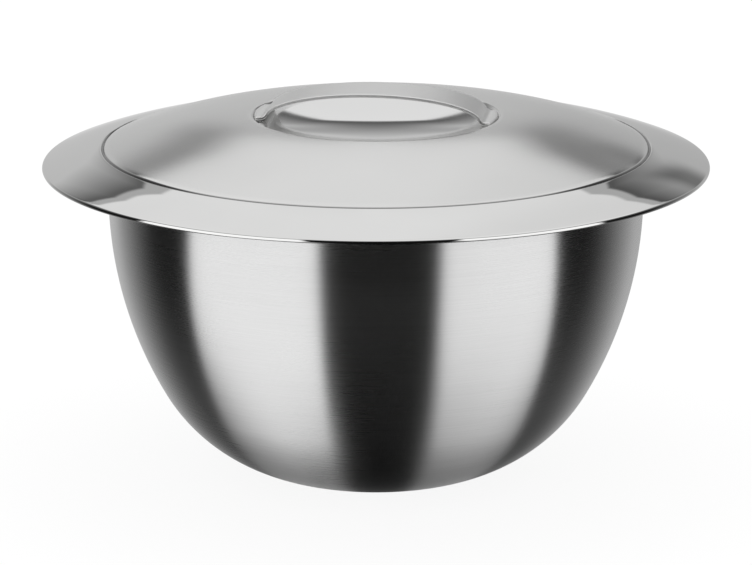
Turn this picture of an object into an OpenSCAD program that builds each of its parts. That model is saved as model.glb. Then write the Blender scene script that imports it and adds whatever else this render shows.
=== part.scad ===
// Insulated serving bowl: a double-walled steel bowl with a lift-off lid and an arched strap handle.
// Millimetres, +Z up, origin at the centre of the flat base.

/* [Bowl] */
// Outer diameter of the bowl at its rim
bowl_d = 241; // [232:1:260]
// Height of the rim above the table
bowl_h = 146; // [125:1:170]
// Height of the upright part of the wall below the rim
upright_h = 17.5; // [10:0.5:24]
// Diameter of the flat base
base_d = 85; // [70:1:100]
// Angle at which the wall leaves the base
base_angle = 11; // [8:0.5:16]
// Radius of the lower curve of the wall
lower_r = 80; // [65:1:85]
// Thickness of the bowl's sheet
wall = 0.8; // [0.6:0.1:1.2]
// Insulating gap between the two walls
wall_gap = 8; // [5:0.5:10]
// Height of the lip that the liner folds over the outer shell
lip_h = 3; // [2:0.5:6]

/* [Base] */
// Width of the ring that the bowl stands on
foot_w = 4.9; // [3:0.1:10]
// Depth of the recess in the base
recess_z = 1.6; // [1.2:0.1:3]
// Thickness of the cover disc in the recess
base_cover_t = 1.2; // [0.8:0.1:1.2]
// Diameter of the hole through which the gap is emptied of air
vacuum_hole_d = 6; // [4:0.5:10]
// Diameter of the plug's head inside the gap
plug_head_d = 10; // [8:0.5:16]
// Height of the plug's head
plug_head_h = 1.5; // [1:0.1:3]

/* [Inside the wall] */
// Thickness of the reflecting foil
foil_t = 0.3; // [0.2:0.1:0.6]
// Lower edge of the foil
foil_bottom = 34; // [25:1:60]
// Distance of the foil's upper edge below the rim
foil_drop = 14; // [10:1:40]
// Diameter of the getter pellet
getter_d = 11; // [8:0.5:14]
// Height of the getter pellet
getter_h = 2.2; // [1.5:0.1:3]
// Distance of the getter from the axis
getter_x = 26; // [18:1:32]
// Thickness of the getter's clip
clip_t = 0.5; // [0.3:0.1:0.8]

/* [Lid] */
// Thickness of the lid's cover
lid_t = 1; // [0.8:0.1:1.5]
// Height of the groove above the bowl's rim
lid_rise = 4; // [3.5:0.1:7]
// Distance of the groove outside the bowl's wall
groove_out = 2.25; // [2:0.25:4]
// Width of the groove
groove_w = 2.2; // [1.6:0.1:3]
// Depth of the groove
groove_depth = 0.8; // [0.4:0.1:1]
// Width of the flange outside the groove
flange_w = 27.25; // [20:0.25:36]
// Fall of the flange from the groove to its edge
flange_drop = 7.6; // [5:0.1:10]
// Radius of the flange's crown
flange_arc_r = 127; // [90:1:200]
// Thickness of the rolled edge
hem_d = 2.4; // [2:0.1:3]
// Rise of the dome from the groove to the well
dome_rise = 14; // [11:0.1:18]
// Radius of the dome's crown
dome_arc_r = 198; // [150:1:260]

/* [Well under the handle] */
// Diameter of the well at the dome
well_d = 110.8; // [100:0.2:120]
// Depth of the step from the dome to the ledge
step_h = 1.2; // [0.8:0.1:2]
// Width of the sloping face of the step
step_run = 0.6; // [0.4:0.1:1]
// Width of the ledge that carries the handle
ledge_w = 7.9; // [7.5:0.1:12]
// Depth of the dish below the ledge
dish_depth = 2.2; // [1.5:0.1:5]

/* [Handle] */
// Width of the strap
strap_w = 28; // [20:0.5:36]
// Thickness of the strap
strap_t = 1.5; // [1:0.1:2]
// Half the span of the arch
arch_half = 49; // [46:0.5:50]
// Rise of the arch above its feet
arch_h = 11.6; // [10:0.1:24]
// Radius between the arch and its feet
foot_fillet = 2; // [1:0.1:2.4]
// Turn of the handle about the lid's axis
handle_turn = -7; // [-90:1:90]
// Diameter of the welded studs
stud_d = 3; // [2.5:0.1:3]
// Distance between the two studs of a foot
stud_pitch = 14; // [10:0.5:16]
// Diameter of the washers
washer_d = 7; // [6:0.1:7.5]
// Thickness of the washers
washer_t = 0.5; // [0.4:0.1:1]
// Width of the nuts across their flats
nut_af = 5.5; // [5:0.1:6]
// Height of the nuts
nut_h = 2.4; // [2:0.1:3]

/* [Inside the lid] */
// Thickness of the lid's inner plate
plate_t = 0.8; // [0.6:0.1:1.2]
// Depth to which the inner plate reaches into the bowl
plug_depth = 7; // [4:0.5:12]
// Room between the inner plate and the bowl's liner
plug_clear = 1.4; // [1:0.1:3]
// Thickness of the gasket
gasket_t = 1.9; // [1.4:0.1:2]
// Width of the gasket
gasket_w = 8.5; // [6:0.5:9]

/* [Clearances] */
// Gap between the gasket and the rim when the lid is on
seat_gap = 0.3; // [0.2:0.1:0.5]
// Gap between pieces that are joined for good
fit_gap = 0.2; // [0.1:0.05:0.3]

/* [Hidden] */
$fn = 96;
// Steps along an arc of an outline
arc_steps = 20;

bowl_r = bowl_d / 2;
base_r = base_d / 2;
recess_run = recess_z;
recess_r = base_r - foot_w - recess_run;
hole_r = vacuum_hole_d / 2;
straight_h = bowl_h - upright_h;
foil_top = bowl_h - foil_drop;

// The lower arc leaves the base, and the upper arc meets it and ends upright
lower_c = [base_r - lower_r * sin(base_angle), lower_r * cos(base_angle)];
arc_run = bowl_r - lower_c.x;
arc_climb = straight_h - lower_c.y;
upper_r = (arc_run ^ 2 + arc_climb ^ 2 - lower_r ^ 2) / (2 * (arc_run - lower_r));
upper_c = [bowl_r - upper_r, straight_h];
meet_a = atan2(lower_c.x - upper_c.x, arc_climb);

liner_off = wall + wall_gap;
liner_z = recess_z + wall + wall_gap;
mouth_r = bowl_r - liner_off - wall;
lip_r = bowl_r + fit_gap;

well_r = well_d / 2;
ledge_r = well_r - step_run;
dish_r = well_r - ledge_w;
groove_r = bowl_r + groove_out;
lid_r = groove_r + flange_w;
groove_z = bowl_h + lid_rise;
well_z = groove_z + dome_rise;
edge_z = groove_z - flange_drop;
ledge_z = well_z - step_h;
hem_r = hem_d / 2;
dish_arc_r = (dish_r ^ 2 + dish_depth ^ 2) / (2 * dish_depth);
dish_c = [0, ledge_z - dish_depth + dish_arc_r];
dome_c = arc_centre([well_r, well_z], [groove_r, groove_z], dome_arc_r);
flange_c = arc_centre([groove_r, groove_z], [lid_r, edge_z], flange_arc_r);
hem_x = lid_r - hem_r;
hem_slope = asin((hem_x - flange_c.x) / flange_arc_r);
hem_c = [hem_x, flange_z(hem_x) - hem_r / cos(hem_slope)];
hem_start = 90 - hem_slope;
hem_end = -180 - hem_slope - asin(1 - lid_t * cos(hem_slope) / hem_r);
hem_meet = hem_x + hem_r * sin(hem_slope);
hem_back = hem_x + hem_r * cos(hem_end);

plug_r = mouth_r - plug_clear;
gasket_z = bowl_h + seat_gap;
brim_z = gasket_z + gasket_t;
brim_r = groove_r - groove_w;
plug_z = bowl_h - plug_depth;

foot_end_r = ledge_r - fit_gap;
foot_start = arch_half + foot_fillet;
stud_u = (foot_start + foot_end_r) / 2 - stud_pitch ^ 2 / (16 * foot_end_r);
nut_top = ledge_z - lid_t - washer_t;
stud_end = nut_top - nut_h - stud_d / 3;
pocket_z = stud_end - stud_d / 2;
pocket_r = ledge_r + washer_d;

// Points of an arc about c from angle a0 to a1
function arc_points(c, r, a0, a1) =
    [for (i = [0 : arc_steps]) let (a = a0 + (a1 - a0) * i / arc_steps) c + r * [cos(a), sin(a)]];

// Centre of the arc of radius r over p and q, which lies below them
function arc_centre(p, q, r) =
    let (d = q - p, h = sqrt(r ^ 2 - (d * d) / 4), n = [d.y, -d.x] / norm(d))
    (p + q) / 2 + (n.y < 0 ? h : -h) * n;

function after_first(p) = [for (i = [1 : len(p) - 1]) p[i]];

function reversed(p) = [for (i = [len(p) - 1 : -1 : 0]) p[i]];

// The bowl's curve at a distance inside its outer face, from a floor's height to a top
function wall_curve(inset, floor_z, top_z) =
    concat(
        arc_points(lower_c, lower_r - inset, acos((lower_c.y - floor_z) / (lower_r - inset)) - 90, meet_a - 90),
        arc_points(upper_c, upper_r - inset, meet_a - 90, 0),
        [[bowl_r - inset, top_z]]);

// Radius of the bowl's curve at a height
function wall_x(inset, z) =
    z > straight_h ? bowl_r - inset
    : z > upper_c.y - (upper_r - inset) * cos(meet_a) ? upper_c.x + sqrt((upper_r - inset) ^ 2 - (z - upper_c.y) ^ 2)
    : lower_c.x + sqrt((lower_r - inset) ^ 2 - (z - lower_c.y) ^ 2);

// Heights of the lid's outer face
function dome_z(r) = dome_c.y + sqrt(dome_arc_r ^ 2 - (r - dome_c.x) ^ 2);

function flange_z(r) = flange_c.y + sqrt(flange_arc_r ^ 2 - (r - flange_c.x) ^ 2);

function lid_z(r) = r < groove_r ? dome_z(r) : flange_z(r);

// The groove's dip at a distance from its middle
function groove_dip(x) = groove_depth * (1 + cos(360 * x / groove_w)) / 2;

// Face of the lid from the axis to the rolled edge
lid_face = concat(
    [for (i = [0 : arc_steps]) let (r = dish_r * i / arc_steps) [r, dish_c.y - sqrt(dish_arc_r ^ 2 - r ^ 2)]],
    [[ledge_r, ledge_z]],
    [for (i = [0 : arc_steps]) let (r = well_r + (groove_r - groove_w / 2 - well_r) * i / arc_steps) [r, dome_z(r)]],
    [for (i = [1 : arc_steps - 1]) let (x = groove_w * (i / arc_steps - 0.5))
        [groove_r + x, lid_z(groove_r + x) - groove_dip(x)]],
    [for (i = [0 : arc_steps]) let (r = groove_r + groove_w / 2 + (hem_meet - groove_r - groove_w / 2) * i / arc_steps)
        [r, flange_z(r)]]);

// Outline of the lid's cover: face, rolled edge and underside
lid_outline = concat(
    lid_face,
    after_first(arc_points(hem_c, hem_r, hem_start, hem_end)),
    reversed([for (v = lid_face) if (v.x < hem_back) v - [0, lid_t]]));

// The arch's outer line over its feet, and the sweep from a foot to the arch
fillet_a = asin(foot_fillet / arch_h);

function arch_point(a) = [arch_half * cos(a), strap_t + arch_h * sin(a)];

function foot_sweep(side) =
    let (p = arch_point(fillet_a), q = [arch_half, strap_t], e = [foot_start, strap_t])
    [for (i = [0 : arc_steps]) let (t = i / arc_steps, v = (1 - t) ^ 2 * e + 2 * t * (1 - t) * q + t ^ 2 * p)
        [side * v.x, v.y]];

strap_outline = concat(
    [[-well_r, 0], [-well_r, strap_t]],
    foot_sweep(-1),
    [for (i = [1 : 2 * arc_steps - 1])
        arch_point(180 - fillet_a - (180 - 2 * fillet_a) * i / (2 * arc_steps))],
    reversed(foot_sweep(1)),
    [[well_r, strap_t], [well_r, 0]],
    [for (i = [0 : 2 * arc_steps]) let (a = 180 * i / (2 * arc_steps))
        [(arch_half - strap_t) * cos(a), arch_h * sin(a)]]);

// A turned piece from its outline
module turned(points) {
    rotate_extrude() polygon(points);
}

// Places for the four studs of the handle
module at_studs() {
    rotate(handle_turn)
        for (u = [-stud_u, stud_u], v = [-stud_pitch / 2, stud_pitch / 2])
            translate([u, v, 0]) children();
}

// Outer wall of the bowl, with the recess in its base
module outer_shell() {
    top = bowl_h - wall;
    color("silver")
        turned(concat(
            [[hole_r, recess_z], [recess_r, recess_z], [recess_r + recess_run, 0]],
            wall_curve(0, 0, top),
            reversed(wall_curve(wall, wall, top)),
            [[recess_r + recess_run, wall], [recess_r, recess_z + wall], [hole_r, recess_z + wall]]));
}

// Inner wall of the bowl, folded over the outer shell at the rim
module inner_liner() {
    color("gainsboro")
        turned(concat(
            [[0, liner_z]],
            wall_curve(liner_off, liner_z, bowl_h - wall),
            [[lip_r, bowl_h - wall], [lip_r, bowl_h - lip_h], [lip_r + wall, bowl_h - lip_h], [lip_r + wall, bowl_h]],
            reversed(wall_curve(liner_off + wall, liner_z + wall, bowl_h)),
            [[0, liner_z + wall]]));
}

// Reflecting foil wound round the liner
module radiation_foil() {
    inner = liner_off - fit_gap;
    outer = inner - foil_t;
    color("peru")
        turned(concat(
            [for (i = [0 : 2 * arc_steps]) let (z = foil_bottom + (foil_top - foil_bottom) * i / (2 * arc_steps))
                [wall_x(outer, z), z]],
            [for (i = [2 * arc_steps : -1 : 0]) let (z = foil_bottom + (foil_top - foil_bottom) * i / (2 * arc_steps))
                [wall_x(inner, z), z]]));
}

// Cup under the liner's floor that holds the getter
module getter_clip() {
    inner_r = getter_d / 2 + fit_gap;
    depth = getter_h + fit_gap;
    color("darkgray") translate([getter_x, 0, liner_z - depth - clip_t])
        difference() {
            cylinder(r = inner_r + clip_t, h = depth + clip_t);
            translate([0, 0, clip_t]) cylinder(r = inner_r, h = depth + clip_t);
        }
}

// Pellet that keeps the gap free of gas
module getter_pellet() {
    color("dimgray") translate([getter_x, 0, liner_z - getter_h - fit_gap]) cylinder(d = getter_d, h = getter_h);
}

// Plug that closes the hole in the outer shell
module vacuum_plug() {
    color("goldenrod") translate([0, 0, recess_z]) {
        cylinder(r = hole_r - fit_gap / 2, h = wall + plug_head_h);
        translate([0, 0, wall]) cylinder(d = plug_head_d, h = plug_head_h);
    }
}

// Disc that hides the plug
module base_cover() {
    color("lightgray") translate([0, 0, recess_z - base_cover_t])
        cylinder(r = recess_r - fit_gap, h = base_cover_t);
}

// Cover of the lid: dish, ledge, dome, groove, flange and rolled edge, pressed from one sheet
module lid_cover() {
    color("whitesmoke")
        difference() {
            turned(lid_outline);
            at_studs() translate([0, 0, ledge_z - 2 * lid_t]) cylinder(d = stud_d + 2 * fit_gap, h = 3 * lid_t);
        }
}

// Inner plate of the lid, which reaches into the bowl's mouth
module lid_inner_plate() {
    plug_in = plug_r - plate_t;
    lip_z = lid_z(brim_r) - lid_t - fit_gap;
    color("gainsboro")
        turned([[0, plug_z], [plug_r, plug_z], [plug_r, brim_z], [brim_r, brim_z], [brim_r, lip_z],
            [brim_r - plate_t, lip_z], [brim_r - plate_t, brim_z + plate_t], [plug_in, brim_z + plate_t],
            [plug_in, plug_z + plate_t], [0, plug_z + plate_t]]);
}

// Foam between the cover and the inner plate
module lid_insulation() {
    side_r = plug_r - plate_t - fit_gap;
    outer_r = brim_r - plate_t - fit_gap;
    low = plug_z + plate_t + fit_gap;
    shelf = brim_z + plate_t + fit_gap;
    color("beige")
        turned(concat(
            [[0, low], [side_r, low], [side_r, shelf], [outer_r, shelf]],
            [for (i = [0 : arc_steps]) let (r = outer_r + (pocket_r - outer_r) * i / arc_steps)
                [r, dome_z(r) - lid_t - fit_gap]],
            [[pocket_r, pocket_z], [0, pocket_z]]));
}

// Gasket between the inner plate's brim and the bowl's rim
module lid_gasket() {
    color("darkslategray") translate([0, 0, gasket_z])
        difference() {
            cylinder(r = plug_r + fit_gap + gasket_w, h = gasket_t);
            translate([0, 0, -gasket_t]) cylinder(r = plug_r + fit_gap, h = 3 * gasket_t);
        }
}

// Arched strap, with feet that follow the well's edge
module handle_strap() {
    color("whitesmoke") translate([0, 0, ledge_z])
        intersection() {
            rotate([90, 0, handle_turn]) linear_extrude(height = strap_w, center = true) polygon(strap_outline);
            translate([0, 0, -arch_h]) cylinder(r = foot_end_r, h = 3 * arch_h);
        }
}

// Studs welded under the handle's feet
module handle_studs() {
    color("silver") at_studs() translate([0, 0, stud_end]) cylinder(d = stud_d, h = ledge_z - stud_end);
}

// Washers under the ledge
module handle_washers() {
    color("silver") at_studs() translate([0, 0, nut_top])
        difference() {
            cylinder(d = washer_d, h = washer_t);
            translate([0, 0, -washer_t]) cylinder(d = stud_d + fit_gap, h = 3 * washer_t);
        }
}

// Nuts that hold the handle
module handle_nuts() {
    color("silver") at_studs() translate([0, 0, nut_top - nut_h])
        difference() {
            cylinder(d = nut_af / cos(30), h = nut_h, $fn = 6);
            translate([0, 0, -nut_h]) cylinder(d = stud_d + fit_gap, h = 3 * nut_h);
        }
}

outer_shell();
inner_liner();
radiation_foil();
getter_clip();
getter_pellet();
vacuum_plug();
base_cover();
lid_cover();
lid_inner_plate();
lid_insulation();
lid_gasket();
handle_strap();
handle_studs();
handle_washers();
handle_nuts();
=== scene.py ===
"""Looks of a double-walled steel bowl with a lift-off lid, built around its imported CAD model.

Metres, +Z up, the bowl's axis on Z, the viewer of the main picture towards -Y.
"""

import math

import bpy
from bpy.props import FloatProperty, FloatVectorProperty, IntProperty, PointerProperty
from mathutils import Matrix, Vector


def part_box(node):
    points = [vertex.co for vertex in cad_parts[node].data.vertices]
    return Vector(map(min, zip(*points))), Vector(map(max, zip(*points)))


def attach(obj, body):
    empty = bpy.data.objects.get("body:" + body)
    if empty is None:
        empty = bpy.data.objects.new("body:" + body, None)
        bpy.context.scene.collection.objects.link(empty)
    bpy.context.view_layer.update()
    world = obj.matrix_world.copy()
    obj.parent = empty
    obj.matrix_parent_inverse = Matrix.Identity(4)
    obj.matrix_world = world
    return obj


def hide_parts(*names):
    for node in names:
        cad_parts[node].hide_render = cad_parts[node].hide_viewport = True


bl_info = {
    "name": "Insulated bowl",
    "version": (1, 0, 0),
    "blender": (4, 5, 0),
    "location": "View3D > Sidebar > Bowl",
    "description": "Builds the looks, the light and the camera of an insulated steel bowl with a lid",
    "category": "Object",
}

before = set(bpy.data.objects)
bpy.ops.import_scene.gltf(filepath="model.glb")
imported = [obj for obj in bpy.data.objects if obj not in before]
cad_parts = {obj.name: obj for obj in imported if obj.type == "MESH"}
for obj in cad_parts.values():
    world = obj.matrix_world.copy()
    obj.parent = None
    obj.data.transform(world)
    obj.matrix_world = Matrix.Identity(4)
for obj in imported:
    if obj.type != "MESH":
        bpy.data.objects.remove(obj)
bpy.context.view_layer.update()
MM = 0.001
SHELL_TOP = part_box("outer_shell")[1]
LINER_LOW, LINER_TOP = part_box("inner_liner")
LID_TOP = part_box("lid_cover")[1]
PLATE_LOW, PLATE_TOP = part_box("lid_inner_plate")
GASKET_LOW, GASKET_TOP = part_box("lid_gasket")
STRAP_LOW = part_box("handle_strap")[0]
COVER_LOW, COVER_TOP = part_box("base_cover")

ROUND_STEPS = 6
CURVE_STEPS = 34
UPRIGHT_STEPS = 5
MERGE_REACH = 0.002 * MM
DISC_STEPS, PLATE_STEPS, GASKET_STEPS = 160, 256, 224


def length(name, description, default, low=0.0, high=1.0):
    """A length that a user can change."""
    return FloatProperty(name=name, description=description, default=default, min=low, max=high,
                         unit="LENGTH", subtype="DISTANCE", precision=4)


def angle(name, description, degrees):
    """An angle that a user can change."""
    return FloatProperty(name=name, description=description, default=math.radians(degrees),
                         min=-math.pi, max=math.pi, unit="ROTATION", subtype="ANGLE")


def share(name, description, default, high=1.0):
    """A plain factor that a user can change."""
    return FloatProperty(name=name, description=description, default=default, min=0.0, max=high, subtype="FACTOR")


def colour(name, description, default):
    """A colour that a user can change."""
    return FloatVectorProperty(name=name, description=description, default=default, size=3, min=0.0, max=1.0,
                               subtype="COLOR")


class BowlSizes(bpy.types.PropertyGroup):
    """Sizes of the bowl's two walls."""
    rim_radius: length("Rim radius", "Outer radius of the bowl's wall", SHELL_TOP.x)
    rim_height: length("Rim height", "Height of the rim above the table", LINER_TOP.z)
    upright: length("Upright part", "Height of the upright wall below the rim", 17.5 * MM)
    base_radius: length("Base radius", "Radius of the flat base", 42.5 * MM)
    base_angle: angle("Base angle", "Angle at which the wall leaves the base", 11)
    lower_radius: length("Lower curve", "Radius of the wall's lower curve", 80 * MM)
    sheet: length("Sheet", "Thickness of the sheet", 0.8 * MM)
    gap: length("Gap", "Insulating gap between the two walls", 8 * MM)
    foot_ring: length("Foot ring", "Width of the ring that the bowl stands on", 4.9 * MM)
    recess: length("Recess", "Depth of the recess in the base", 1.6 * MM)
    plug_hole: length("Plug hole", "Radius of the hole in the base", 3 * MM)
    lip: length("Lip", "Height of the lip folded over the outer wall", 3 * MM)
    lip_clearance: length("Lip clearance", "Gap between the lip and the outer wall", 0.2 * MM)
    mouth_round: length("Mouth rounding", "Rounding of the mouth's inner edge", 2 * MM)
    steps: IntProperty(name="Steps", description="Faces round the axis", default=256, min=32, max=512)


class LidSizes(bpy.types.PropertyGroup):
    """Sizes of the lid's cover, inner plate and gasket."""
    edge_radius: length("Edge radius", "Outer radius of the lid", LID_TOP.x)
    groove_radius: length("Groove radius", "Radius of the pressed groove", 122.75 * MM)
    groove_width: length("Groove width", "Width of the pressed groove", 2.2 * MM)
    groove_depth: length("Groove depth", "Depth of the pressed groove", 0.8 * MM)
    dome_height: length("Dome height", "Height of the dome at the well", LID_TOP.z)
    dome_rise: length("Dome rise", "Rise of the dome from the groove to the well", 14 * MM)
    dome_crown: length("Dome crown", "Radius of the dome's crown", 198 * MM)
    flange_drop: length("Flange drop", "Fall of the flange to its edge", 7.6 * MM)
    flange_crown: length("Flange crown", "Radius of the flange's crown", 127 * MM)
    hem: length("Rolled edge", "Radius of the rolled edge", 1.2 * MM)
    sheet: length("Sheet", "Thickness of the cover", 1 * MM)
    well_radius: length("Well radius", "Radius of the well under the handle", 55.4 * MM)
    step_depth: length("Step depth", "Depth of the step round the well", 1.2 * MM)
    step_run: length("Step run", "Width of the step's slope", 0.6 * MM)
    ledge: length("Ledge", "Width of the ledge that carries the handle", 7.9 * MM)
    dish_depth: length("Dish depth", "Depth of the dish below the ledge", 2.2 * MM)
    dish_round: length("Dish rounding", "Reach of the rounding between dish and ledge", 0.8 * MM)
    ledge_round: length("Ledge rounding", "Reach of the rounding between ledge and step", 0.35 * MM)
    well_round: length("Well rounding", "Reach of the rounding between step and dome", 0.6 * MM)
    plate: length("Plate", "Thickness of the inner plate", 0.8 * MM)
    gasket_width: length("Gasket width", "Width of the gasket", 8.5 * MM)
    gasket_gap: length("Gasket gap", "Gap between the gasket and the plate's side", 0.2 * MM)
    bead: length("Gasket bead", "Height of the gasket's sealing ribs", 0.35 * MM)
    beads: IntProperty(name="Gasket ribs", description="Sealing ribs under the gasket", default=3, min=1, max=8)
    steps: IntProperty(name="Steps", description="Faces round the axis", default=288, min=32, max=512)


class HandleSizes(bpy.types.PropertyGroup):
    """Sizes of the arched strap."""
    width: length("Width", "Width of the strap", 28 * MM)
    sheet: length("Thickness", "Thickness of the strap", 1.5 * MM)
    half_span: length("Half span", "Half the span of the arch", 49 * MM)
    rise: length("Rise", "Rise of the arch above its feet", 11.6 * MM)
    fillet: length("Fillet", "Sweep between the arch and its feet", 2 * MM)
    foot_radius: length("Foot radius", "Radius that the feet's ends follow", 54.6 * MM)
    edge_round: length("Edge rounding", "Rounding of the strap's edges", 0.4 * MM)
    turn: angle("Turn", "Turn of the handle about the axis", -7)
    steps: IntProperty(name="Steps", description="Faces along the arch", default=72, min=16, max=200)
    slices: IntProperty(name="Slices", description="Faces across the strap", default=14, min=4, max=40)


class FinishColours(bpy.types.PropertyGroup):
    """Colours of the finishes."""
    satin: colour("Satin steel", "Brushed outer wall", (0.66, 0.66, 0.66))
    polished: colour("Polished steel", "Lid and handle", (0.74, 0.74, 0.735))
    liner: colour("Liner steel", "Liner, inner plate and fasteners", (0.68, 0.68, 0.675))
    silicone: colour("Silicone", "Gasket", (0.055, 0.056, 0.058))
    felt: colour("Felt", "Fibre pad in the lid", (0.6, 0.57, 0.5))
    foil: colour("Foil", "Reflecting foil", (0.85, 0.85, 0.86))
    getter: colour("Getter", "Getter pellet", (0.05, 0.05, 0.055))
    plug: colour("Plug", "Brazed plug", (0.55, 0.42, 0.18))


class StageSettings(bpy.types.PropertyGroup):
    """Camera, floor and reflected studio."""
    distance: length("Camera distance", "Distance of the camera", 2.0, 0.3, 10.0)
    pitch: angle("Camera pitch", "How far the camera looks down", 14.387)
    aim_height: length("Aim height", "Height that the camera looks at", 85.95 * MM)
    lens: FloatProperty(name="Lens", description="Focal length in millimetres", default=211.15, min=20, max=400,
                        unit="CAMERA", subtype="DISTANCE_CAMERA")
    studio_radius: length("Studio radius", "Distance of the reflected studio", 8.0, 1.0, 30.0)
    left_box: share("Left softbox", "Brightness of the left softbox", 1.28, 4.0)
    right_box: share("Right softbox", "Brightness of the right softbox", 1.25, 4.0)
    back_wall: share("Back wall", "Brightness of the grey back wall", 0.6, 4.0)
    screen: share("Screen", "Brightness of the screen above the lid", 0.95, 4.0)
    front: share("Front", "Brightness of the dark front", 0.007, 4.0)
    front_top: share("Front top", "Brightness of the front above the lid", 0.12, 4.0)
    floor_shadow: share("Floor shadow", "How strongly the floor keeps the shadow", 0.1)
    lamp_power: FloatProperty(name="Lamp power", description="Power of the overhead lamp", default=22.0, min=0.0,
                              max=500.0, unit="POWER")


def arc(centre, radius, start, end, steps):
    """Points of an arc in the XZ plane, with angles in degrees."""
    turns = [math.radians(start + (end - start) * i / steps) for i in range(steps + 1)]
    return [(centre[0] + radius * math.cos(a), centre[1] + radius * math.sin(a)) for a in turns]


def crown_centre(p, q, radius):
    """Centre of the arc of a radius over two points, which lies below them."""
    dx, dz = q[0] - p[0], q[1] - p[1]
    chord = math.hypot(dx, dz)
    reach = math.sqrt(radius ** 2 - chord ** 2 / 4)
    side = 1 if dx < 0 else -1
    return (p[0] + q[0]) / 2 - side * reach * dz / chord, (p[1] + q[1]) / 2 + side * reach * dx / chord


def rounded(points, corners):
    """The outline with some corners rounded: corners maps a point's index to how far the rounding reaches."""
    out = []
    for i, p in enumerate(points):
        if i not in corners:
            out.append(p)
            continue
        p = Vector(p)
        before, after = Vector(points[i - 1]), Vector(points[(i + 1) % len(points)])
        a = p + (before - p).normalized() * corners[i]
        b = p + (after - p).normalized() * corners[i]
        for k in range(ROUND_STEPS + 1):
            t = k / ROUND_STEPS
            out.append(tuple((1 - t) ** 2 * a + 2 * t * (1 - t) * p + t ** 2 * b))
    return out


def deselect():
    """Leaves edit mode and selects nothing."""
    if bpy.context.object and bpy.context.object.mode != "OBJECT":
        bpy.ops.object.mode_set(mode="OBJECT")
    bpy.ops.object.select_all(action="DESELECT")


def start_outline(name, point):
    """A new mesh in edit mode that is one vertex at a point (x, y, z)."""
    deselect()
    bpy.ops.mesh.primitive_plane_add(size=2 * MM, location=(0, 0, 0))
    piece = bpy.context.active_object
    piece.name = piece.data.name = name
    bpy.ops.object.mode_set(mode="EDIT")
    bpy.ops.mesh.select_mode(type="VERT")
    bpy.ops.mesh.select_all(action="SELECT")
    bpy.ops.mesh.merge(type="CENTER")
    bpy.ops.transform.translate(value=point)
    return piece


def draw_line(points):
    """Extrudes the selected vertex along points (x, y, z), the first of which is where it stands."""
    for a, b in zip(points, points[1:]):
        bpy.ops.mesh.extrude_vertices_move(TRANSFORM_OT_translate={"value": tuple(Vector(b) - Vector(a))})


def spun(name, outline, steps):
    """An outline of (radius, height) points, spun round the Z axis into a closed shell."""
    points = [(x, 0.0, z) for x, z in outline]
    if outline[0][0] > 0:
        points.append(points[0])
    piece = start_outline(name, points[0])
    draw_line(points)
    bpy.ops.mesh.select_all(action="SELECT")
    bpy.ops.mesh.remove_doubles(threshold=MERGE_REACH)
    bpy.ops.mesh.select_all(action="SELECT")
    bpy.ops.mesh.spin(steps=steps, angle=math.tau, center=(0, 0, 0), axis=(0, 0, 1))
    bpy.ops.mesh.select_all(action="SELECT")
    bpy.ops.mesh.remove_doubles(threshold=MERGE_REACH)
    bpy.ops.mesh.normals_make_consistent(inside=False)
    bpy.ops.object.mode_set(mode="OBJECT")
    return piece


def smooth(piece, degrees):
    """Smooth shading, with edges sharper than an angle left hard."""
    deselect()
    piece.select_set(True)
    bpy.context.view_layer.objects.active = piece
    bpy.ops.object.shade_smooth_by_angle(angle=math.radians(degrees))


def settle(piece, body, node, material):
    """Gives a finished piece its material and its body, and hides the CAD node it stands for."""
    if not piece.data.polygons:
        raise RuntimeError(piece.name + " has no faces")
    piece.data.materials.clear()
    piece.data.materials.append(material)
    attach(piece, body)
    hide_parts(node)


def socket(group, name, direction, default=0.0):
    """Adds a named number to a node group."""
    made = group.interface.new_socket(name=name, in_out=direction, socket_type="NodeSocketFloat")
    made.default_value = default


def link(tree, source, target):
    """Joins a socket to another one, or sets that one to a number."""
    if isinstance(source, (int, float)):
        target.default_value = source
    else:
        tree.links.new(source, target)


def maths(tree, operation, a, b=None):
    """A Math node on sockets or numbers, giving its output."""
    node = tree.nodes.new("ShaderNodeMath")
    node.operation = operation
    link(tree, a, node.inputs[0])
    if b is not None:
        link(tree, b, node.inputs[1])
    return node.outputs[0]


def total(tree, operation, *values):
    """One operation over several sockets or numbers."""
    result = values[0]
    for value in values[1:]:
        result = maths(tree, operation, result, value)
    return result


def plus(tree, *values):
    """The sum of sockets or numbers."""
    return total(tree, "ADD", *values)


def times(tree, *values):
    """The product of sockets or numbers."""
    return total(tree, "MULTIPLY", *values)


def minus(tree, a, b):
    """The difference of two sockets or numbers."""
    return maths(tree, "SUBTRACT", a, b)


def weighed(tree, a, share_a, b, share_b):
    """The sum of two values, each times its own share."""
    return plus(tree, times(tree, a, share_a), times(tree, b, share_b))


def blend(tree, a, b, factor):
    """A value that goes from a to b with a factor."""
    return plus(tree, a, times(tree, factor, minus(tree, b, a)))


def spread(tree, value, low, high, to_low, to_high, ends="SMOOTHSTEP"):
    """A Map Range node, with soft ends unless told otherwise, giving its output."""
    node = tree.nodes.new("ShaderNodeMapRange")
    node.interpolation_type = ends
    link(tree, value, node.inputs["Value"])
    for name, number in zip(("From Min", "From Max", "To Min", "To Max"), (low, high, to_low, to_high)):
        link(tree, number, node.inputs[name])
    return node.outputs["Result"]


def rise(tree, value, start, end):
    """A mask that goes softly from 0 to 1 between two values."""
    return spread(tree, value, start, end, 0.0, 1.0)


def fall(tree, value, start, end):
    """A mask that goes softly from 1 to 0 between two values."""
    return spread(tree, value, start, end, 1.0, 0.0)


def object_place(tree):
    """X, Y and Z of the Object coordinates, as three sockets."""
    parts = tree.nodes.new("ShaderNodeSeparateXYZ")
    link(tree, tree.nodes.new("ShaderNodeTexCoord").outputs["Object"], parts.inputs[0])
    return parts.outputs


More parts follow.
